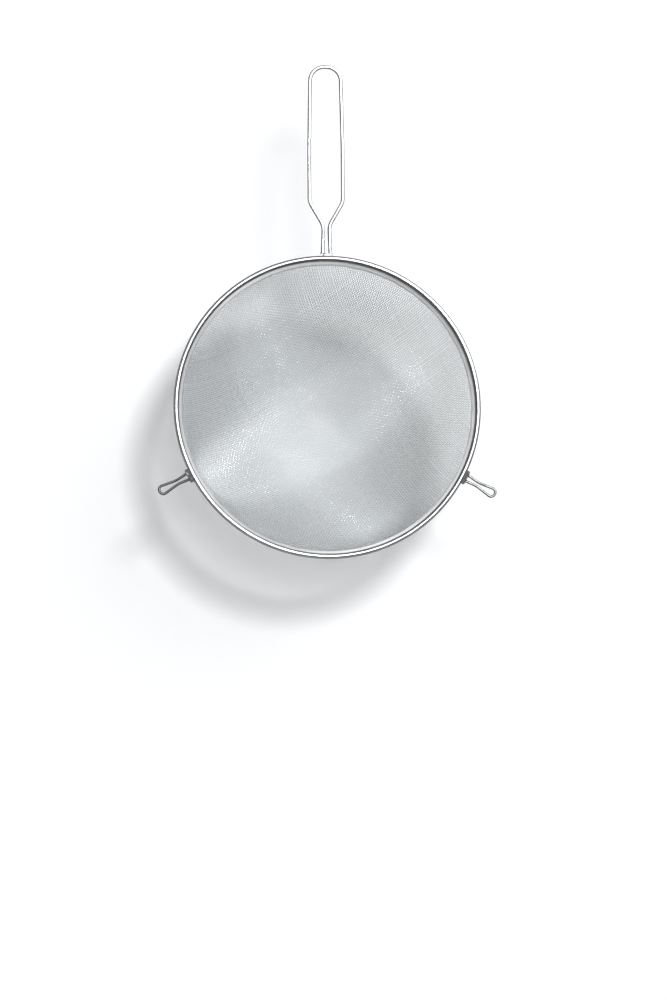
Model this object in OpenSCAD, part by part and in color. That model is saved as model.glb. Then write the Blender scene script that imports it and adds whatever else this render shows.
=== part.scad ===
// Large bowl sieve of stainless wire mesh.
// The mouth faces up (+Z) and its plane is z = 0. The handle runs along +Y.
// The origin is the middle of the mouth.

/* [Rim] */
// Outer diameter of the rim
rim_d = 260; // [220:5:320]
// Diameter of the wire that the bead is rolled over
core_wire_d = 3.5; // [2.6:0.1:4.5]
// Thickness of the strip that the rim is folded from
strip_t = 0.5; // [0.3:0.05:0.8]
// Length of the skirt, from the middle of the bead down to the knee
skirt_len = 4.8; // [4.4:0.2:10]
// Lean of the skirt from upright, in degrees
skirt_lean = 50; // [10:1:60]
// Length of the lip that grips the edge of the mesh
lip_len = 3; // [2:0.5:6]
// Gap at the butt seam of the strip
seam_gap = 0.2; // [0.1:0.05:0.5]
// Place of the seam, in degrees clockwise from the handle
seam_angle = 8; // [6:1:60]

/* [Mesh] */
// Depth of the bowl, from the knee of the rim down to the middle of the cloth
bowl_depth = 100; // [40:1:120]
// Diameter of the mesh wires
mesh_wire_d = 0.4; // [0.3:0.05:0.6]
// Distance from one warp wire to the next, measured over the bowl
warp_pitch = 2; // [1.6:0.1:8]
// Distance from one weft wire to the next, measured over the bowl
weft_pitch = 1.77; // [1.6:0.01:8]
// Direction of the warp wires, in degrees from the right-hand side
warp_angle = 119; // [0:1:180]
// Angle between the warp wires and the weft wires
crossing_angle = 91; // [75:1:105]

/* [Handle] */
// Diameter of the handle wire
handle_wire_d = 3.3; // [2.5:0.1:4]
// Reach of the handle beyond the rim
handle_len = 166.4; // [130:1:220]
// Outer width of the handle where it is widest
handle_w = 31.8; // [27:0.1:40]
// Outer width of the handle's sides where they would meet its far end
handle_end_w = 29.1; // [22:0.1:36]
// Distance between the middles of the two legs at the rim
handle_foot_w = 6.5; // [5:0.1:9]
// Distance between the middles of the two legs at the neck
handle_neck_w = 4.9; // [4.2:0.1:8]
// Distance from the rim to the neck
handle_neck_at = 26; // [18:1:34]
// Distance from the rim to the shoulder
handle_shoulder_at = 46.5; // [44:0.5:60]
// Distance from the rim to the place where the handle is widest
handle_widest_at = 92; // [80:1:105]
// Bend radius at the neck, along the middle of the wire
neck_bend_r = 16; // [5:1:20]
// Bend radius at the shoulder, along the middle of the wire
shoulder_bend_r = 14; // [5:1:18]
// Bend radius of the long curve where the handle is widest
side_bend_r = 300; // [50:10:400]
// Bend radius at the far end, along the middle of the wire
end_bend_r = 12.4; // [6:0.1:13]

/* [Rest loops] */
// Diameter of the rest loop wire
rest_wire_d = 2.2; // [1.8:0.1:2.6]
// Reach of the rest loops beyond the rim
rest_len = 30.4; // [26:0.1:45]
// Width of a rest loop's sides where they would meet its far end
rest_end_w = 10.4; // [10.2:0.1:13]
// Distance between the middles of the two legs at the saddle
rest_foot_w = 5.3; // [4:0.1:8]
// Distance between the middles of the two legs at the waist
rest_waist_w = 3.3; // [3:0.1:6]
// Distance from the rim to the waist
rest_waist_at = 12.5; // [10:0.5:16]
// Bend radius at the waist, along the middle of the wire
waist_bend_r = 30; // [10:1:40]
// Bend radius at the far end of a rest loop, along the middle of the wire
rest_end_bend_r = 3.3; // [2.2:0.1:3.4]
// Place of the left rest loop, in degrees from the handle
left_rest_angle = 117.1; // [100:0.1:130]
// Place of the right rest loop, in degrees from the handle
right_rest_angle = 117.4; // [100:0.1:130]
// Swing of the left rest loop from a straight radial line, in degrees
left_rest_swing = 1.5; // [-6:0.5:6]
// Swing of the right rest loop from a straight radial line, in degrees
right_rest_swing = 3; // [-6:0.5:6]

/* [Saddles] */
// Height of the saddles
saddle_h = 3.8; // [3:0.1:4.2]
// Distance that the handle saddle stands out from the rim
handle_saddle_out = 1.7; // [1:0.1:4]
// Width of the handle saddle along the rim
handle_saddle_w = 9.8; // [9.8:0.1:16]
// Distance that the rest saddles stand out from the rim
rest_saddle_out = 2.5; // [1:0.1:4]
// Width of a rest saddle along the rim
rest_saddle_w = 11.7; // [8:0.1:16]
// Chamfer along the outer upright corners of the saddles
saddle_chamfer = 0.6; // [0.2:0.1:0.9]

/* [Clearances] */
// Clearance round the core wire inside the bead
core_clear = 0.05; // [0.02:0.01:0.1]
// Clearance between the two layers of mesh wire
weave_gap = 0.02; // [0.02:0.01:0.1]
// Clearance between the mesh and each ply of the lip
grip_clear = 0.05; // [0.02:0.01:0.1]
// Distance from the ends of the mesh wires to the knee of the rim
mesh_end_gap = 0.5; // [0.4:0.1:1]
// Clearance between a saddle and the bead that it sits on
saddle_clear = 0.03; // [0.02:0.01:0.1]

/* [Hidden] */
$fn = 48;
steel = [0.78, 0.8, 0.82];
mesh_grey = [0.72, 0.74, 0.76];
dull_steel = [0.45, 0.46, 0.48];
bend_thinning = 0.02;
bend_lap = 0.05;

// Rim section: r runs outwards and z upwards
rim_r = rim_d / 2;
bead_d = core_wire_d + 2 * core_clear + 2 * strip_t;
bead_mid = [rim_r - bead_d / 2, -bead_d / 2];
knee = bead_mid + skirt_len * hanging(skirt_lean);
cloth_t = 2 * mesh_wire_d + weave_gap;
grip_w = cloth_t + 2 * grip_clear;
seam_span = degrees_over(seam_gap, rim_r);

// Bowl: part of a sphere. Angles are measured at its centre, from straight down
bowl_r = (knee.x ^ 2 + bowl_depth ^ 2) / (2 * bowl_depth);
bowl_z = knee.y - bowl_depth + bowl_r;
knee_a = asin(knee.x / bowl_r);
lip_lean = 90 - knee_a + degrees_over(lip_len, bowl_r) / 2;
lip_slot = 1;
mesh_edge_a = knee_a - degrees_over(mesh_end_gap, bowl_r);
shortest_wire_a = 0.1;
wire_sides = 8;
warp_r = bowl_r + (mesh_wire_d + weave_gap) / 2;
weft_r = bowl_r - (mesh_wire_d + weave_gap) / 2;
weft_angle = warp_angle - crossing_angle;

// Handle, along the middle of its wire
handle_root = rim_r + handle_saddle_out;
handle_points = [
    [handle_foot_w / 2, handle_root],
    [handle_neck_w / 2, rim_r + handle_neck_at],
    [(handle_w - handle_wire_d) / 2, rim_r + handle_shoulder_at],
    [(handle_w - handle_wire_d) / 2, rim_r + handle_widest_at],
    [(handle_end_w - handle_wire_d) / 2, rim_r + handle_len - handle_wire_d / 2]
];
handle_bends = [neck_bend_r, shoulder_bend_r, side_bend_r, end_bend_r];

// Rest loop, along the middle of its wire, with the rim's outer edge at y = 0
rest_points = [
    [rest_foot_w / 2, rest_saddle_out],
    [rest_waist_w / 2, rest_waist_at],
    [(rest_end_w - rest_wire_d) / 2, rest_len - rest_wire_d / 2]
];
rest_bends = [waist_bend_r, rest_end_bend_r];

function degrees_over(length, radius) = length / radius * 180 / PI;
function hanging(lean) = [-sin(lean), -cos(lean)];
function outwards(lean) = [cos(lean), -sin(lean)];
function reversed(list) = [for (i = [len(list) - 1 : -1 : 0]) list[i]];
function mirrored(points) = [for (p = reversed(points)) [-p.x, p.y]];
function unit(v) = v / norm(v);

// Bends at the corners of a bent wire: a is the corner before, b the bend's own and c the one after
function half_corner(a, b, c) = acos(unit(a - b) * unit(c - b)) / 2;
function bend_reach(a, b, c, r) = r / tan(half_corner(a, b, c));
function bend_centre(a, b, c, r) = b + unit(unit(a - b) + unit(c - b)) * r / sin(half_corner(a, b, c));

// One straight round rod between two points in the plane
module rod(from, to, d) {
    way = to - from;
    translate([from.x, from.y, 0])
        rotate([0, 90, atan2(way.y, way.x)])
            cylinder(d = d, h = norm(way));
}

// One round bend of wire at the corner b
module bend(a, b, c, r, d) {
    centre = bend_centre(a, b, c, r);
    first = b + unit(a - b) * bend_reach(a, b, c, r) - centre;
    sweep = 180 - 2 * half_corner(a, b, c);
    first_a = atan2(first.y, first.x);
    start_a = cross(b - a, c - b) > 0 ? first_a : first_a - sweep;
    translate([centre.x, centre.y, 0])
        rotate_extrude(angle = sweep, start = start_a, $fn = 180)
            translate([r, 0])
                circle(d = d);
}

// A wire bent at every inner point of its path, with one bend radius for each.
// The bends are a hair thinner than the straight rods and start just inside them.
module bent_wire(points, bends, d) {
    last = len(points) - 1;
    for (i = [1 : last - 1])
        bend(points[i - 1], points[i], points[i + 1], bends[i - 1], d - bend_thinning);
    for (i = [0 : last - 1]) {
        way = unit(points[i + 1] - points[i]);
        before = i == 0 ? 0
            : bend_reach(points[i - 1], points[i], points[i + 1], bends[i - 1]) - bend_lap;
        after = i == last - 1 ? 0
            : bend_reach(points[i], points[i + 1], points[i + 2], bends[i]) - bend_lap;
        rod(points[i] + way * before, points[i + 1] - way * after, d);
    }
}

// Outline of the folded rim at one width: bead, skirt, knee and lip.
// The lip follows the chord of the bowl.
module fold(bead, width, lip) {
    end = knee + lip * hanging(lip_lean);
    bend_a = skirt_lean - lip_lean;
    skirt_side = width / 2 * outwards(skirt_lean);
    knee_side = width / 2 / cos(bend_a / 2) * outwards(skirt_lean - bend_a / 2);
    lip_side = width / 2 * outwards(lip_lean);
    translate(bead_mid)
        circle(d = bead);
    polygon([
        bead_mid - skirt_side, knee - knee_side, end - lip_side,
        end + lip_side, knee + knee_side, bead_mid + skirt_side
    ]);
}

module rim_band() {
    color(steel)
        rotate_extrude(angle = 360 - seam_span, start = 90 - seam_angle + seam_span / 2, $fn = 180)
            difference() {
                fold(bead_d, grip_w + 2 * strip_t, lip_len);
                fold(bead_d - 2 * strip_t, grip_w, lip_len + lip_slot);
            }
}

module rim_core_wire() {
    color(dull_steel)
        rotate_extrude($fn = 180)
            translate(bead_mid)
                circle(d = core_wire_d);
}

// Every second wire of one layer of mesh, because the weave lifts the odd and the even wires
// by turns. The layer's wires are parallel, evenly spaced over the bowl and cut off at the rim,
// and are counted from 0 in the middle. odd_one is 1 for the odd wires and 0 for the even ones.
module mesh_wires(direction, pitch, layer_r, odd_one) {
    step_a = degrees_over(pitch, bowl_r);
    outermost = floor((mesh_edge_a - shortest_wire_a) / step_a);
    rotate([0, 0, direction])
        for (i = [-outermost : outermost])
            if (abs(i) % 2 == odd_one) {
                half_span = acos(cos(mesh_edge_a) / cos(i * step_a));
                translate([0, layer_r * sin(i * step_a), bowl_z])
                    rotate([90, 0, 0])
                        rotate_extrude(angle = 2 * half_span, start = 270 - half_span, $fn = 240)
                            translate([layer_r * cos(i * step_a), 0])
                                circle(d = mesh_wire_d, $fn = wire_sides);
            }
}

module mesh_warp_odd() {
    color(mesh_grey)
        mesh_wires(warp_angle, warp_pitch, warp_r, 1);
}

module mesh_warp_even() {
    color(mesh_grey)
        mesh_wires(warp_angle, warp_pitch, warp_r, 0);
}

module mesh_weft_odd() {
    color(mesh_grey)
        mesh_wires(weft_angle, weft_pitch, weft_r, 1);
}

module mesh_weft_even() {
    color(mesh_grey)
        mesh_wires(weft_angle, weft_pitch, weft_r, 0);
}

module handle_loop() {
    color(steel)
        translate([0, 0, bead_mid.y])
            bent_wire(
                concat(handle_points, mirrored(handle_points)),
                concat(handle_bends, reversed(handle_bends)),
                handle_wire_d
            );
}

// A block along +Y that is hollowed to sit on the outside of the bead
module saddle(width, out) {
    half = width / 2;
    far = rim_r + out;
    difference() {
        translate([0, 0, bead_mid.y - saddle_h / 2])
            linear_extrude(saddle_h)
                polygon([
                    [-half, bead_mid.x],
                    [half, bead_mid.x],
                    [half, far - saddle_chamfer],
                    [half - saddle_chamfer, far],
                    [saddle_chamfer - half, far],
                    [-half, far - saddle_chamfer]
                ]);
        rotate_extrude($fn = 360)
            translate(bead_mid)
                circle(d = bead_d + 2 * saddle_clear);
    }
}

module handle_saddle() {
    color(steel)
        saddle(handle_saddle_w, handle_saddle_out);
}

// A rest loop at its place round the rim, swung about its own foot
module rest_loop(angle, swing) {
    rotate([0, 0, angle])
        translate([0, rim_r + rest_saddle_out, bead_mid.y])
            rotate([0, 0, swing])
                translate([0, -rest_saddle_out, 0])
                    bent_wire(
                        concat(rest_points, mirrored(rest_points)),
                        concat(rest_bends, reversed(rest_bends)),
                        rest_wire_d
                    );
}

module left_rest_loop() {
    color(steel)
        rest_loop(left_rest_angle, left_rest_swing);
}

module right_rest_loop() {
    color(steel)
        rest_loop(-right_rest_angle, -right_rest_swing);
}

module left_rest_saddle() {
    color(dull_steel)
        rotate([0, 0, left_rest_angle])
            saddle(rest_saddle_w, rest_saddle_out);
}

module right_rest_saddle() {
    color(dull_steel)
        rotate([0, 0, -right_rest_angle])
            saddle(rest_saddle_w, rest_saddle_out);
}

rim_band();
rim_core_wire();
mesh_warp_odd();
mesh_warp_even();
mesh_weft_odd();
mesh_weft_even();
handle_loop();
handle_saddle();
left_rest_loop();
left_rest_saddle();
right_rest_loop();
right_rest_saddle();
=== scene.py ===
"""Studio scene of a large bowl sieve, seen into the mouth with the handle up.

Everything is in metres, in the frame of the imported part: the origin is the middle of the mouth,
+Z points up out of it and +Y runs along the handle.
"""
import math

import bpy
import numpy as np
from mathutils import Matrix, Vector


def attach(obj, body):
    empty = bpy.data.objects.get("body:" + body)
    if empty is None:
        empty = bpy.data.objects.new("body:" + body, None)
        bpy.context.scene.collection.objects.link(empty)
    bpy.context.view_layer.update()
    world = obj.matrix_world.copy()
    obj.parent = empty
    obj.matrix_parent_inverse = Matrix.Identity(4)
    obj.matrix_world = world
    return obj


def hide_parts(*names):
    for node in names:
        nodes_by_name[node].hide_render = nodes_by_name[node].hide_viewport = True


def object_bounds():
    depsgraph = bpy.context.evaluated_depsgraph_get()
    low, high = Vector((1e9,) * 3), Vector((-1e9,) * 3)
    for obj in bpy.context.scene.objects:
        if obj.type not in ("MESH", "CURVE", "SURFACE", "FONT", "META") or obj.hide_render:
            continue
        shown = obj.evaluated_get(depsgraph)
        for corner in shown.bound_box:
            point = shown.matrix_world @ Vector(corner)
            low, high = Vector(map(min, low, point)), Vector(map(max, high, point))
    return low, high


MM = 0.001

# The photograph: its size in pixels, where the middle of the mouth lies in it, and its scale
PHOTO_W = 667
PHOTO_H = 1000
MOUTH_PX = (327.65, 406.05)
PIXEL = 0.8433 * MM

# The camera: how far the line of sight leans from the axis of the bowl, how far the picture is
# turned anticlockwise, and how far away the camera is
LEAN_X = math.radians(-3.81)
LEAN_Y = math.radians(-8.89)
ROLL = math.radians(0.4)
CAMERA_FAR = 3.5
SENSOR = 36.0

# The rim, as in the part: its outer radius, and the middle and radius of its bead
RIM_R = 130 * MM
BEAD_R = 2.3 * MM
BEAD_MID_R = RIM_R - BEAD_R
BEAD_MID_Z = -BEAD_R

# The bowl, as in the part: a piece of a sphere hung from the knee of the rim
BOWL_DEPTH = 100 * MM
KNEE_R = 124.023 * MM
KNEE_Z = -5.385 * MM
BOWL_R = (KNEE_R ** 2 + BOWL_DEPTH ** 2) / (2 * BOWL_DEPTH)
BOWL_MID = np.array([0.0, 0.0, KNEE_Z - BOWL_DEPTH + BOWL_R])
MESH_END_GAP = 0.5 * MM
MESH_EDGE_A = math.asin(KNEE_R / BOWL_R) - MESH_END_GAP / BOWL_R

# The cloth of the bowl. A wire runs level over the one that it crosses, for KNUCKLE of a pitch on
# either side, and straight from there to the next knuckle. It is pressed a little flat
WARP_W = 0.6 * MM
WEFT_W = 0.54 * MM
WIRE_T = 0.36 * MM
WEAVE_GAP = 0.02 * MM
WARP_PITCH = 2.0 * MM
WEFT_PITCH = 1.77 * MM
WARP_ANGLE = math.radians(119)
WEFT_ANGLE = math.radians(28)
KNUCKLE = 0.24
WIRE_SIDES = 4
# How far the normals at a wire's two edges lean from straight out towards its sides
EDGE_LEAN = 1.15
SHORTEST_WIRE_A = math.radians(0.1)
# The loom's errors in parts of a pitch: the spread of the wires' places, and the slip at a fault
LOOM_ERROR = 0.035
LOOM_FAULT = 0.17
WARP_FAULTS = 3
WEFT_FAULTS = 9

# The welds: the feet of the wires, as in the part, and the beads of metal round them
HANDLE_FOOT = (3.25 * MM, RIM_R + 1.7 * MM)
HANDLE_WIRE_R = 1.65 * MM
HANDLE_SADDLE_W = 9.8 * MM
REST_FOOT = (2.65 * MM, RIM_R + 2.5 * MM)
REST_WIRE_R = 1.1 * MM
REST_SADDLE_W = 11.7 * MM
LEFT_REST_A = math.radians(117.1)
RIGHT_REST_A = math.radians(-117.4)
SADDLE_H = 3.8 * MM
WELD_R = 0.42 * MM
WELD_RIPPLE = 0.9 * MM


def unit(v):
    """v at length 1, for one vector or for rows of them."""
    return v / np.linalg.norm(v, axis=-1, keepdims=True)


def mesh_object(name, points, quads):
    """A smooth mesh object of quads, from arrays."""
    mesh = bpy.data.meshes.new(name)
    mesh.vertices.add(len(points))
    mesh.vertices.foreach_set("co", points.astype(np.float32).ravel())
    mesh.loops.add(quads.size)
    mesh.loops.foreach_set("vertex_index", quads.astype(np.int32).ravel())
    mesh.polygons.add(len(quads))
    mesh.polygons.foreach_set("loop_start", np.arange(0, quads.size, 4, dtype=np.int32))
    mesh.update(calc_edges=True)
    mesh.validate()
    mesh.shade_smooth()
    obj = bpy.data.objects.new(name, mesh)
    bpy.context.scene.collection.objects.link(obj)
    return obj


def joined(parts):
    """One array of points and one of quads, from a list of such pairs."""
    starts = np.cumsum([0] + [len(points) for points, quads in parts[:-1]])
    points = np.concatenate([points for points, quads in parts])
    quads = np.concatenate([quads + start for (_, quads), start in zip(parts, starts)])
    return points, quads


def tube(path, outward, half_w, half_h, sides, closed=False):
    """Points and quads of a tube along path, of an even number of sides. outward is one direction
    for each point of the path. The tube has a corner on that side, half_h from the path, and is
    half_w wide each way; both may have a value for each point. A closed tube joins its own start,
    and any other has flat ends."""
    if closed:
        ahead, behind = np.roll(path, -1, axis=0), np.roll(path, 1, axis=0)
        along = unit(ahead - behind)
    else:
        along = unit(np.gradient(path, axis=0))
    side = unit(np.cross(along, outward))
    up = np.cross(side, along)
    turn = 2 * np.pi * np.arange(sides) / sides
    half_w = np.broadcast_to(half_w, len(path))[:, None, None]
    half_h = np.broadcast_to(half_h, len(path))[:, None, None]
    rings = (path[:, None]
             + half_h * np.cos(turn)[None, :, None] * up[:, None]
             + half_w * np.sin(turn)[None, :, None] * side[:, None])
    points = rings.reshape(-1, 3)
    here = np.arange(sides)[None, :]
    after = (here + 1) % sides
    ring = np.arange(len(path) - (0 if closed else 1))[:, None] * sides
    following = (ring + sides) % len(points)
    quads = np.stack([ring + here, ring + after, following + after, following + here], axis=-1)
    quads = quads.reshape(-1, 4)
    if not closed:
        k = np.arange(sides // 2 - 1)
        cap = np.stack([k, k + 1, sides - 2 - k, sides - 1 - k], axis=-1)
        quads = np.concatenate([quads, cap[:, ::-1], cap + len(points) - sides])
    return points, quads


def direction(angle):
    """The unit vector at that angle from +X, in the plane of the mouth."""
    return np.array([math.cos(angle), math.sin(angle), 0.0])


def wire_path(index, slip, own, other, sign):
    """The middle line of one wire of the cloth, and the outward direction at each of its points.
    own and other are the (angle, pitch) of its own set of wires and of the set that it crosses,
    and slip is how far the loom misplaced it."""
    along, across = direction(own[0]), direction(own[0] + math.pi / 2)
    other_across = direction(other[0] + math.pi / 2)
    down = np.array([0.0, 0.0, -1.0])
    a = (index + slip) * own[1] / BOWL_R
    reach = math.acos(math.cos(MESH_EDGE_A) / math.cos(a))
    ahead = along @ other_across
    other_step = other[1] / BOWL_R

    def crossed(phi):
        """The count of the other set's wires at phi along this wire."""
        s = math.sin(a) * (across @ other_across) + math.cos(a) * math.sin(phi) * ahead
        return math.asin(s) / other_step

    ends = sorted([crossed(-reach), crossed(reach)])
    knuckles = np.arange(math.ceil(ends[0] + 2 * KNUCKLE), math.floor(ends[1] - 2 * KNUCKLE) + 1)
    level_parts = (knuckles[:, None] + np.array([-KNUCKLE, KNUCKLE])).ravel()
    counts = np.concatenate([ends[:1], level_parts, ends[1:]])
    sin_phi = (np.sin(counts * other_step) - math.sin(a) * (across @ other_across))
    phi = np.arcsin(np.clip(sin_phi / (math.cos(a) * ahead), -1, 1))
    outward = (math.sin(a) * across[None]
               + math.cos(a) * (np.sin(phi)[:, None] * along + np.cos(phi)[:, None] * down))
    nearest = np.round(counts)
    level = np.minimum(1, (0.5 - np.abs(counts - nearest)) / (0.5 - KNUCKLE))
    rise = sign * (WIRE_T + WEAVE_GAP) / 2 * level * np.where((nearest + index) % 2 == 0, 1, -1)
    return BOWL_MID + outward * (BOWL_R + rise)[:, None], outward


def loom_slips(count, faults, seed):
    """How far the loom misplaced each of count wires, in parts of a pitch."""
    random = np.random.default_rng(seed)
    slips = random.normal(0, LOOM_ERROR, count).clip(-2 * LOOM_ERROR, 2 * LOOM_ERROR)
    slips[random.choice(count, faults, replace=False)] += LOOM_FAULT * random.choice([-1, 1], faults)
    return slips


def flatten_crowns(mesh):
    """Makes wires of four flat sides look like flattened rounds: along their two edges the normals
    lean to the side that they shade."""
    corners = np.empty(len(mesh.loops), dtype=np.int32)
    mesh.loops.foreach_get("vertex_index", corners)
    rounded = np.empty(3 * len(mesh.vertices), dtype=np.float32)
    mesh.vertex_normals.foreach_get("vector", rounded)
    flat = np.empty(3 * len(mesh.polygons), dtype=np.float32)
    mesh.polygon_normals.foreach_get("vector", flat)
    normals = rounded.reshape(-1, 3)[corners]
    flat = np.repeat(flat.reshape(-1, 3), 4, axis=0)
    edges = corners % WIRE_SIDES % 2 == 1
    leaning = normals[edges] + EDGE_LEAN * flat[edges]
    normals[edges] = leaning / np.linalg.norm(leaning, axis=1, keepdims=True)
    mesh.normals_split_custom_set(normals)


def woven_wires(name, own, other, width, sign, odd, faults):
    """Every second wire of one set, as one object. odd is 1 for the odd wires and 0 for the even."""
    outermost = math.floor((MESH_EDGE_A - SHORTEST_WIRE_A) / (own[1] / BOWL_R))
    slips = loom_slips(2 * outermost + 1, faults, faults)
    slips[[0, -1]] = 0
    wires = []
    for index in range(-outermost, outermost + 1):
        if index % 2 != odd:
            continue
        path, outward = wire_path(index, slips[index + outermost], own, other, sign)
        if len(path) >= 3:
            wires.append(tube(path, outward, width / 2, WIRE_T / 2, WIRE_SIDES))
    piece = mesh_object(name, *joined(wires))
    flatten_crowns(piece.data)
    return piece


def weave_cloth(materials):
    """The four sets of wires: odd and even, warp and weft."""
    warp = (WARP_ANGLE, WARP_PITCH)
    weft = (WEFT_ANGLE, WEFT_PITCH)
    for kind, own, other, width, sign, faults in (
            ("warp", warp, weft, WARP_W, 1, WARP_FAULTS),
            ("weft", weft, warp, WEFT_W, -1, WEFT_FAULTS)):
        for odd, word in ((1, "odd"), (0, "even")):
            piece = woven_wires(f"woven_{kind}_{word}", own, other, width, sign, odd, faults)
            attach(piece, "root")
            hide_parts(f"mesh_{kind}_{word}")
            dress(piece, materials[kind])


def rippled(length):
    """The radius of a weld bead at each of these lengths along it."""
    return WELD_R * (1 + 0.14 * np.cos(2 * np.pi * length / WELD_RIPPLE)
                     + 0.1 * np.sin(2 * np.pi * length / (3.7 * WELD_RIPPLE)))


def foot_weld(x, y, wire_r):
    """A lumpy ring of weld metal round the foot of a wire that runs along +Y."""
    ring_r = wire_r + 0.15 * WELD_R
    turn = np.linspace(0, 2 * np.pi, 36, endpoint=False)
    spoke = np.stack([np.cos(turn), np.zeros_like(turn), np.sin(turn)], axis=-1)
    path = np.array([x, y, BEAD_MID_Z]) + ring_r * spoke
    radius = rippled(turn * ring_r)
    return tube(path, spoke, radius, radius, 10, closed=True)


def saddle_weld(width, top):
    """A lumpy bead of weld metal along the joint of a saddle and the rim, on top or beneath."""
    height = SADDLE_H / 2 - 0.05 * MM
    r = BEAD_MID_R + math.sqrt(BEAD_R ** 2 - height ** 2)
    half = (width / 2 - WELD_R) / r
    turn = np.linspace(-half, half, 45)
    spoke = np.stack([np.sin(turn), np.cos(turn), np.zeros_like(turn)], axis=-1)
    path = spoke * r + np.array([0, 0, BEAD_MID_Z + (height if top else -height)])
    taper = np.sqrt(np.clip(1 - (turn / (half * 1.02)) ** 8, 0.02, 1))
    radius = rippled((turn + half) * r) * taper
    return tube(path, spoke, radius * 0.8, radius, 10)


def turned(part, angle):
    """Points and quads turned round the axis of the bowl."""
    points, quads = part
    c, s = math.cos(angle), math.sin(angle)
    return points @ np.array([[c, s, 0], [-s, c, 0], [0, 0, 1]]), quads


def add_welds(dark, light):
    """The weld metal at the handle, which is light at its feet, and at each rest loop."""
    for name, angle, foot, wire_r, width, at_feet in (
            ("handle", 0, HANDLE_FOOT, HANDLE_WIRE_R, HANDLE_SADDLE_W, light),
            ("left_rest", LEFT_REST_A, REST_FOOT, REST_WIRE_R, REST_SADDLE_W, dark),
            ("right_rest", RIGHT_REST_A, REST_FOOT, REST_WIRE_R, REST_SADDLE_W, dark)):
        feet = [foot_weld(side * foot[0], foot[1], wire_r) for side in (-1, 1)]
        seams = [saddle_weld(width, top) for top in (True, False)]
        for word, parts, material in (("feet", feet, at_feet), ("seams", seams, dark)):
            piece = mesh_object(f"weld_{name}_{word}",
                                *joined([turned(part, angle) for part in parts]))
            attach(piece, "root")
            dress(piece, material)


def new_material(name):
    """An empty node material, its node tree and its Principled shader."""
    material = bpy.data.materials.new(name)
    material.use_nodes = True
    return material, material.node_tree, material.node_tree.nodes["Principled BSDF"]


def feed(tree, socket, value):
    """Links value to the socket where it is an output, and sets it there where it is a number."""
    if isinstance(value, bpy.types.NodeSocket):
        tree.links.new(value, socket)
    else:
        socket.default_value = value


def calc(tree, operation, *values):
    """A Math node's output."""
    node = tree.nodes.new("ShaderNodeMath")
    node.operation = operation
    for socket, value in zip(node.inputs, values):
        feed(tree, socket, value)
    return node.outputs[0]


def vector_calc(tree, operation, output, *values):
    """A Vector Math node's output of that name."""
    node = tree.nodes.new("ShaderNodeVectorMath")
    node.operation = operation
    for socket, value in zip(node.inputs, values):
        feed(tree, socket, value)
    return node.outputs[output]


def ranged(tree, value, low, high, to_low, to_high):
    """to_low below low, to_high above high, and a smooth step between."""
    node = tree.nodes.new("ShaderNodeMapRange")
    node.interpolation_type = "SMOOTHSTEP"
    for name, number in (("Value", value), ("From Min", low), ("From Max", high),
                         ("To Min", to_low), ("To Max", to_high)):
        feed(tree, node.inputs[name], number)
    return node.outputs["Result"]


def mixed(tree, factor, a, b):
    """Colour a where factor is 0 and colour b where it is 1."""
    node = tree.nodes.new("ShaderNodeMix")
    node.data_type = "RGBA"
    feed(tree, node.inputs["Factor"], factor)
    for name, color in (("A", a), ("B", b)):
        if not isinstance(color, bpy.types.NodeSocket):
            color = (*color, 1)
        feed(tree, [i for i in node.inputs if i.name == name and i.type == "RGBA"][0], color)
    return [o for o in node.outputs if o.type == "RGBA"][0]


def toned(tree, color, factor):
    """The colour times a factor."""
    return vector_calc(tree, "SCALE", "Vector", color, (0, 0, 0), (0, 0, 0), factor)


def coordinates(tree, output):
    """A Texture Coordinate node's output of that name."""
    return tree.nodes.new("ShaderNodeTexCoord").outputs[output]


def noise(tree, vector, size, detail=4):
    """Noise with marks of that size in metres."""
    node = tree.nodes.new("ShaderNodeTexNoise")
    node.inputs["Scale"].default_value = 1 / size
    node.inputs["Detail"].default_value = detail
    tree.links.new(vector, node.inputs["Vector"])
    return node.outputs["Fac"]


def line_noise(tree, value, size, detail=1):
    """Noise that follows one number, in metres."""
    node = tree.nodes.new("ShaderNodeTexNoise")
    node.noise_dimensions = "1D"
    node.inputs["Scale"].default_value = 1 / size
    node.inputs["Detail"].default_value = detail
    tree.links.new(value, node.inputs["W"])
    return node.outputs["Fac"]


def relief(tree, shader, height, depth):
    """Bump of that depth in metres."""
    bump = tree.nodes.new("ShaderNodeBump")
    bump.inputs["Strength"].default_value = 1
    bump.inputs["Distance"].default_value = depth
    tree.links.new(height, bump.inputs["Height"])
    tree.links.new(bump.outputs["Normal"], shader.inputs["Normal"])


# The crevice colour is painted shade in the crevices of the weave; the crown colour is the wire's
# own
CROWN_COLOR = (0.95, 0.98, 0.995)
CREVICE_SHADE_COLOR = (0.5, 0.535, 0.555)
CROWN_ROUGH = 0.27
CREVICE_ROUGH = 0.38


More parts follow.
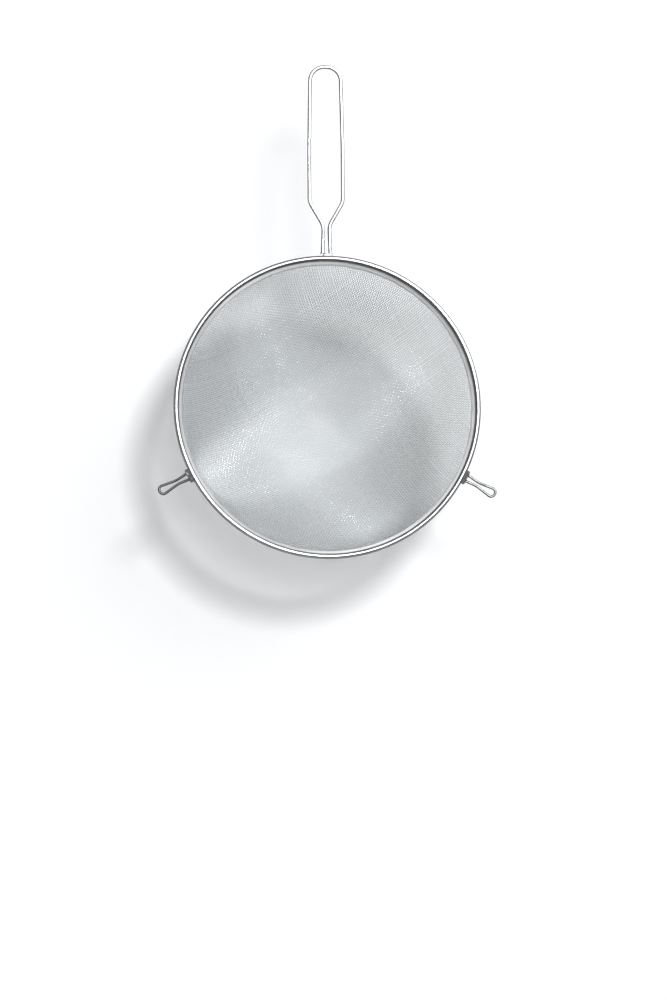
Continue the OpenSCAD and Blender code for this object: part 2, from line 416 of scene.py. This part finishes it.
def woven_steel(name, angle, pitch, shade):
    """Drawn wire of the cloth: its own colour where it stands out of the weave and painted darker in
    its crevices, which is painted shade, and each wire a little lighter or darker than its
    neighbours. shade makes the whole set darker, a painted shade on one set of the same steel."""
    material, tree, shader = new_material(name)
    shader.inputs["Metallic"].default_value = 1.0
    place = coordinates(tree, "Object")
    from_mid = vector_calc(tree, "SUBTRACT", "Vector", place, tuple(BOWL_MID))
    radius = vector_calc(tree, "LENGTH", "Value", from_mid)
    height = calc(tree, "ABSOLUTE", calc(tree, "SUBTRACT", radius, BOWL_R))
    crown = ranged(tree, height, 0.2 * WIRE_T, 0.8 * WIRE_T, 0, 1)
    across = vector_calc(tree, "DOT_PRODUCT", "Value", place, tuple(direction(angle + math.pi / 2)))
    own_tone = ranged(tree, line_noise(tree, across, 1.5 * pitch), 0.3, 0.7,
                      0.92 * shade, 1.06 * shade)
    marks = noise(tree, place, 0.6 * MM, 2)
    tone = calc(tree, "MULTIPLY", own_tone, ranged(tree, marks, 0.3, 0.7, 0.95, 1.05))
    # Painted shade: the colour turns darker away from the crown, into the crevices of the weave
    color = toned(tree, mixed(tree, crown, CREVICE_SHADE_COLOR, CROWN_COLOR), tone)
    tree.links.new(color, shader.inputs["Base Color"])
    rough = ranged(tree, crown, 0, 1, CREVICE_ROUGH, CROWN_ROUGH)
    rough = calc(tree, "MULTIPLY", rough, ranged(tree, marks, 0.3, 0.7, 0.85, 1.15))
    tree.links.new(rough, shader.inputs["Roughness"])
    return material


def painted_sheen_steel(name, crown, flank, rough, low, high, grain, depth):
    """Bent wire with painted light: bright on top, a painted highlight, and dark on its flanks,
    painted shade, by how far its surface faces up. low and high are the upward parts of the normal
    between which it turns bright."""
    material, tree, shader = new_material(name)
    shader.inputs["Metallic"].default_value = 1.0
    place = coordinates(tree, "Object")
    upright = tree.nodes.new("ShaderNodeSeparateXYZ")
    tree.links.new(coordinates(tree, "Normal"), upright.inputs[0])
    # Painted highlight on top and painted shade on the flanks, by how far the surface faces up
    painted_top_light = ranged(tree, calc(tree, "ABSOLUTE", upright.outputs["Z"]), low, high, 0, 1)
    marks = noise(tree, place, grain)
    clouds = noise(tree, place, 12 * grain, 2)
    tone = calc(tree, "MULTIPLY", ranged(tree, marks, 0.3, 0.7, 0.96, 1.04),
                ranged(tree, clouds, 0.3, 0.7, 0.93, 1.05))
    color = toned(tree, mixed(tree, painted_top_light, flank, crown), tone)
    tree.links.new(color, shader.inputs["Base Color"])
    tree.links.new(ranged(tree, marks, 0.3, 0.7, 0.85 * rough, 1.15 * rough),
                   shader.inputs["Roughness"])
    relief(tree, shader, marks, depth)
    return material


# The rim's crown colour is a painted highlight and its flank colour is painted shade
RIM_CROWN_COLOR = (0.66, 0.67, 0.68)
RIM_FLANK_SHADE_COLOR = (0.1, 0.103, 0.107)
RIM_CREASE_SHADE_COLOR = (0.16, 0.165, 0.17)
RIM_SKIRT_COLOR = (0.94, 0.95, 0.955)
RIM_SHADED_SIDE_COLOR = (0.5, 0.51, 0.52)
RIM_SHADED_SIDE_WAY = math.radians(205)
RIM_ROUGH = 0.34
# The bead has a painted highlight on the side that faces this way, and painted shade beyond it
RIM_HIGHLIGHT_TO = (-0.085, -0.19, 0.978)
RIM_FLANK_END = 1.2 * MM
RIM_CROWN_START = 2.05 * MM
SKIRT_ROUGH = 0.5
SKIRT_METAL = 0.35


def rim_steel(name):
    """Rolled strip: a bead with a painted highlight on the side that faces one way and painted shade
    on its flanks, painted shade in the crease beneath it, and a satin skirt and lip with painted
    shade on one side.
    """
    material, tree, shader = new_material(name)
    place = coordinates(tree, "Object")
    parts = tree.nodes.new("ShaderNodeSeparateXYZ")
    tree.links.new(place, parts.inputs[0])
    x, y, z = (parts.outputs[axis] for axis in "XYZ")
    r = calc(tree, "SQRT", calc(tree, "ADD", calc(tree, "MULTIPLY", x, x),
                                calc(tree, "MULTIPLY", y, y)))
    out = calc(tree, "SUBTRACT", r, BEAD_MID_R)
    up = calc(tree, "SUBTRACT", z, BEAD_MID_Z)
    from_bead = calc(tree, "SQRT", calc(tree, "ADD", calc(tree, "MULTIPLY", out, out),
                                        calc(tree, "MULTIPLY", up, up)))
    skirt = ranged(tree, from_bead, BEAD_R + 0.02 * MM, BEAD_R + 0.35 * MM, 0, 1)
    # Painted shade in the crease between the bead and the skirt, on its inner side
    crease = ranged(tree, calc(tree, "ABSOLUTE", calc(tree, "SUBTRACT", from_bead, BEAD_R)),
                    0.02 * MM, 0.45 * MM, 1, 0)
    inside = ranged(tree, out, -1.7 * MM, -1.1 * MM, 1, 0)
    crease = calc(tree, "MULTIPLY", crease, inside)
    # Painted highlight: the bead is bright where it faces the given way and dark beyond it
    towards = vector_calc(tree, "DOT_PRODUCT", "Value", place, (*RIM_HIGHLIGHT_TO[:2], 0))
    facing = calc(tree, "ADD", calc(tree, "MULTIPLY", up, RIM_HIGHLIGHT_TO[2]),
                  calc(tree, "MULTIPLY", out, calc(tree, "DIVIDE", towards, r)))
    crown = ranged(tree, facing, RIM_FLANK_END, RIM_CROWN_START, 0, 1)
    marks = noise(tree, place, 1.2 * MM)
    clouds = noise(tree, place, 20 * MM, 2)
    tone = calc(tree, "MULTIPLY", ranged(tree, marks, 0.3, 0.7, 0.97, 1.03),
                ranged(tree, clouds, 0.3, 0.7, 0.94, 1.04))
    color = mixed(tree, crown, RIM_FLANK_SHADE_COLOR, RIM_CROWN_COLOR)
    # Painted shade: the skirt darker towards one side of the rim
    shaded_side_way = vector_calc(tree, "DOT_PRODUCT", "Value", place, tuple(direction(RIM_SHADED_SIDE_WAY)))
    shaded_side = ranged(tree, calc(tree, "DIVIDE", shaded_side_way, r), 0.1, 0.85, 0, 1)
    color = mixed(tree, skirt, color, mixed(tree, shaded_side, RIM_SKIRT_COLOR, RIM_SHADED_SIDE_COLOR))
    color = toned(tree, mixed(tree, crease, color, RIM_CREASE_SHADE_COLOR), tone)
    tree.links.new(color, shader.inputs["Base Color"])
    tree.links.new(ranged(tree, skirt, 0, 1, 1, SKIRT_METAL), shader.inputs["Metallic"])
    rough = ranged(tree, skirt, 0, 1, RIM_ROUGH, SKIRT_ROUGH)
    rough = calc(tree, "MULTIPLY", rough, ranged(tree, marks, 0.3, 0.7, 0.9, 1.1))
    tree.links.new(rough, shader.inputs["Roughness"])
    relief(tree, shader, marks, 0.004 * MM)
    return material


def weld_steel(name, size, bare, scale_color, bare_color):
    """Steel near a weld: scale, worn through to bare metal in places. A larger bare shows more
    metal."""
    material, tree, shader = new_material(name)
    place = coordinates(tree, "Object")
    patches = noise(tree, place, size)
    grit = noise(tree, place, size / 6)
    shown = ranged(tree, patches, 0.62 - bare, 0.8 - bare, 0, 1)
    tone = ranged(tree, grit, 0.3, 0.7, 0.8, 1.2)
    color = toned(tree, mixed(tree, shown, scale_color, bare_color), tone)
    tree.links.new(color, shader.inputs["Base Color"])
    tree.links.new(ranged(tree, shown, 0, 1, 0.3, 1), shader.inputs["Metallic"])
    rough = calc(tree, "MULTIPLY", ranged(tree, shown, 0, 1, 0.6, 0.42), tone)
    tree.links.new(rough, shader.inputs["Roughness"])
    relief(tree, shader, grit, 0.02 * MM)
    return material


def hidden_steel(name):
    """The core wire's plain drawn steel."""
    material, tree, shader = new_material(name)
    shader.inputs["Metallic"].default_value = 1.0
    marks = noise(tree, coordinates(tree, "Object"), 1 * MM)
    tree.links.new(mixed(tree, marks, (0.5, 0.51, 0.53), (0.6, 0.61, 0.63)),
                   shader.inputs["Base Color"])
    tree.links.new(ranged(tree, marks, 0.3, 0.7, 0.36, 0.44), shader.inputs["Roughness"])
    relief(tree, shader, marks, 0.01 * MM)
    return material


def dress(obj, material):
    """Gives every material slot of obj that material."""
    if not obj.data.materials:
        obj.data.materials.append(material)
    for number in range(len(obj.material_slots)):
        obj.material_slots[number].material = material


def shown_rays(tree):
    """1 for camera, glossy and transmission rays and 0 for the rest."""
    rays = tree.nodes.new("ShaderNodeLightPath")
    first = calc(tree, "MAXIMUM", rays.outputs["Is Camera Ray"], rays.outputs["Is Glossy Ray"])
    return calc(tree, "MAXIMUM", first, rays.outputs["Is Transmission Ray"])


FLOOR_SIDE = 14.0
FLOOR_COLOR = (0.76, 0.77, 0.78)
FLOOR_GLOW = 0.04


def add_floor(height):
    """A plain white floor that keeps the shadow. A part of its white is its own."""
    bpy.ops.mesh.primitive_plane_add(size=FLOOR_SIDE, location=(0, 0, height))
    floor = bpy.context.object
    floor.name = "floor"
    material, tree, shader = new_material("floor_white")
    shader.inputs["Base Color"].default_value = (*FLOOR_COLOR, 1)
    shader.inputs["Roughness"].default_value = 1.0
    shader.inputs["Specular IOR Level"].default_value = 0.0
    shader.inputs["Emission Color"].default_value = (1, 1, 1, 1)
    tree.links.new(calc(tree, "MULTIPLY", shown_rays(tree), FLOOR_GLOW),
                   shader.inputs["Emission Strength"])
    dress(floor, material)


WORLD_BAND = 0.2
WORLD_WALL = 0.05
WORLD_TOP = 0.15


def add_world():
    """A studio: a white backdrop low all round, darker walls above it and a pale ceiling."""
    world = bpy.data.worlds.new("studio")
    bpy.context.scene.world = world
    world.use_nodes = True
    tree = world.node_tree
    split = tree.nodes.new("ShaderNodeSeparateXYZ")
    tree.links.new(coordinates(tree, "Generated"), split.inputs[0])
    height = split.outputs["Z"]
    band = ranged(tree, height, 0.2, 0.34, WORLD_BAND, WORLD_WALL)
    level = calc(tree, "ADD", band, ranged(tree, height, 0.5, 0.95, 0, WORLD_TOP - WORLD_WALL))
    backdrop = tree.nodes["Background"]
    backdrop.inputs["Color"].default_value = (1, 1, 1, 1)
    tree.links.new(level, backdrop.inputs["Strength"])


# The lamps: the way to each from the object, its width as seen from there, and its strength
KEY_FROM = (0.277, 0.319, 0.906)
KEY_WIDTH = math.radians(14)
KEY_STRENGTH = 2.4
FRONT_FROM = (0.07, 0.02, 0.997)
FRONT_WIDTH = math.radians(18)
FRONT_STRENGTH = 0.9
LOW_FROM = (0.516, 0.534, 0.669)
LOW_WIDTH = math.radians(28)
LOW_STRENGTH = 0.85
SIDE_FROM = (0.778, 0.565, 0.276)
SIDE_WIDTH = math.radians(26)
SIDE_STRENGTH = 0.4


def add_lamp(name, way, width, strength):
    """A soft lamp far off in that direction, width wide as seen from the object."""
    data = bpy.data.lights.new(name, "SUN")
    data.angle = width
    data.energy = strength
    lamp = bpy.data.objects.new(name, data)
    lamp.rotation_euler = Vector(way).to_track_quat("Z", "Y").to_euler()
    bpy.context.scene.collection.objects.link(lamp)


def add_camera():
    """The photograph's view: upright along +Y, with the middle of the mouth where it shows it."""
    back = Vector((math.sin(LEAN_X), math.sin(LEAN_Y), 0))
    back.z = math.sqrt(1 - back.length_squared)
    up = Matrix.Rotation(-ROLL, 3, back) @ (Vector((0, 1, 0)) - back * back.y).normalized()
    right = up.cross(back)
    mouth_right = (MOUTH_PX[0] - PHOTO_W / 2) * PIXEL
    mouth_up = (PHOTO_H / 2 - MOUTH_PX[1]) * PIXEL
    data = bpy.data.cameras.new("camera")
    data.sensor_fit = "AUTO"
    data.sensor_width = SENSOR
    data.lens = SENSOR * CAMERA_FAR / (PHOTO_H * PIXEL)
    data.clip_end = 100
    camera = bpy.data.objects.new("camera", data)
    turn = Matrix((right, up, back)).transposed().to_4x4()
    place = back * CAMERA_FAR - right * mouth_right - up * mouth_up
    camera.matrix_world = Matrix.Translation(place) @ turn
    bpy.context.scene.collection.objects.link(camera)
    bpy.context.scene.camera = camera


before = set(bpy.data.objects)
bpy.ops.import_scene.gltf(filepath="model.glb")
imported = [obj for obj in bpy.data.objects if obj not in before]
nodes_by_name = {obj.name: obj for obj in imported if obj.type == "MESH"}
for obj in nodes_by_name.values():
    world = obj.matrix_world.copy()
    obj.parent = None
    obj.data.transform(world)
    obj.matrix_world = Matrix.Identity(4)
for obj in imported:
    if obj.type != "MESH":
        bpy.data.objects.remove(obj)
cad_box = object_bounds()

add_camera()
add_world()
add_lamp("key_lamp", KEY_FROM, KEY_WIDTH, KEY_STRENGTH)
add_lamp("front_lamp", FRONT_FROM, FRONT_WIDTH, FRONT_STRENGTH)
add_lamp("low_lamp", LOW_FROM, LOW_WIDTH, LOW_STRENGTH)
add_lamp("side_lamp", SIDE_FROM, SIDE_WIDTH, SIDE_STRENGTH)
add_floor(cad_box[0].z)

# The weft is the same steel as the warp, painted darker as a whole set: painted shade that dims its
# highlights against the warp's
weave_cloth({"warp": woven_steel("woven_warp_steel", WARP_ANGLE, WARP_PITCH, 1.0),
             "weft": woven_steel("woven_weft_steel", WEFT_ANGLE, WEFT_PITCH, 0.76)})
dark_scale = ((0.05, 0.052, 0.056), (0.3, 0.305, 0.31))
light_scale = ((0.14, 0.143, 0.147), (0.26, 0.264, 0.27))
handle_weld_steel = weld_steel("handle_weld_steel", 2 * MM, 0.3, *light_scale)
add_welds(weld_steel("weld_metal", 1.5 * MM, 0.12, *dark_scale), handle_weld_steel)

saddle_steel = weld_steel("saddle_steel", 3 * MM, 0.06, *dark_scale)
looks = {
    "rim_band": rim_steel("rim_steel"),
    "rim_core_wire": hidden_steel("core_steel"),
    # The loops' crown colours are painted highlight and their flank colours painted shade; the rest
    # loops are painted darker than the handle, and the left one darkest, as painted shade
    "handle_loop": painted_sheen_steel("handle_steel", (0.8, 0.81, 0.82), (0.3, 0.305, 0.31), 0.3,
                                0.62, 0.9, 1.2 * MM, 0.003 * MM),
    "left_rest_loop": painted_sheen_steel("left_rest_steel", (0.13, 0.135, 0.14), (0.02, 0.021, 0.023),
                                   0.4, 0.9, 1.0, 0.9 * MM, 0.003 * MM),
    "right_rest_loop": painted_sheen_steel("right_rest_steel", (0.27, 0.275, 0.28), (0.03, 0.031, 0.033),
                                    0.36, 0.94, 1.0, 0.9 * MM, 0.003 * MM),
    "handle_saddle": handle_weld_steel,
    "left_rest_saddle": saddle_steel,
    "right_rest_saddle": saddle_steel,
}
for name, material in looks.items():
    dress(nodes_by_name[name], material)

bpy.context.scene.view_settings.view_transform = "Standard"
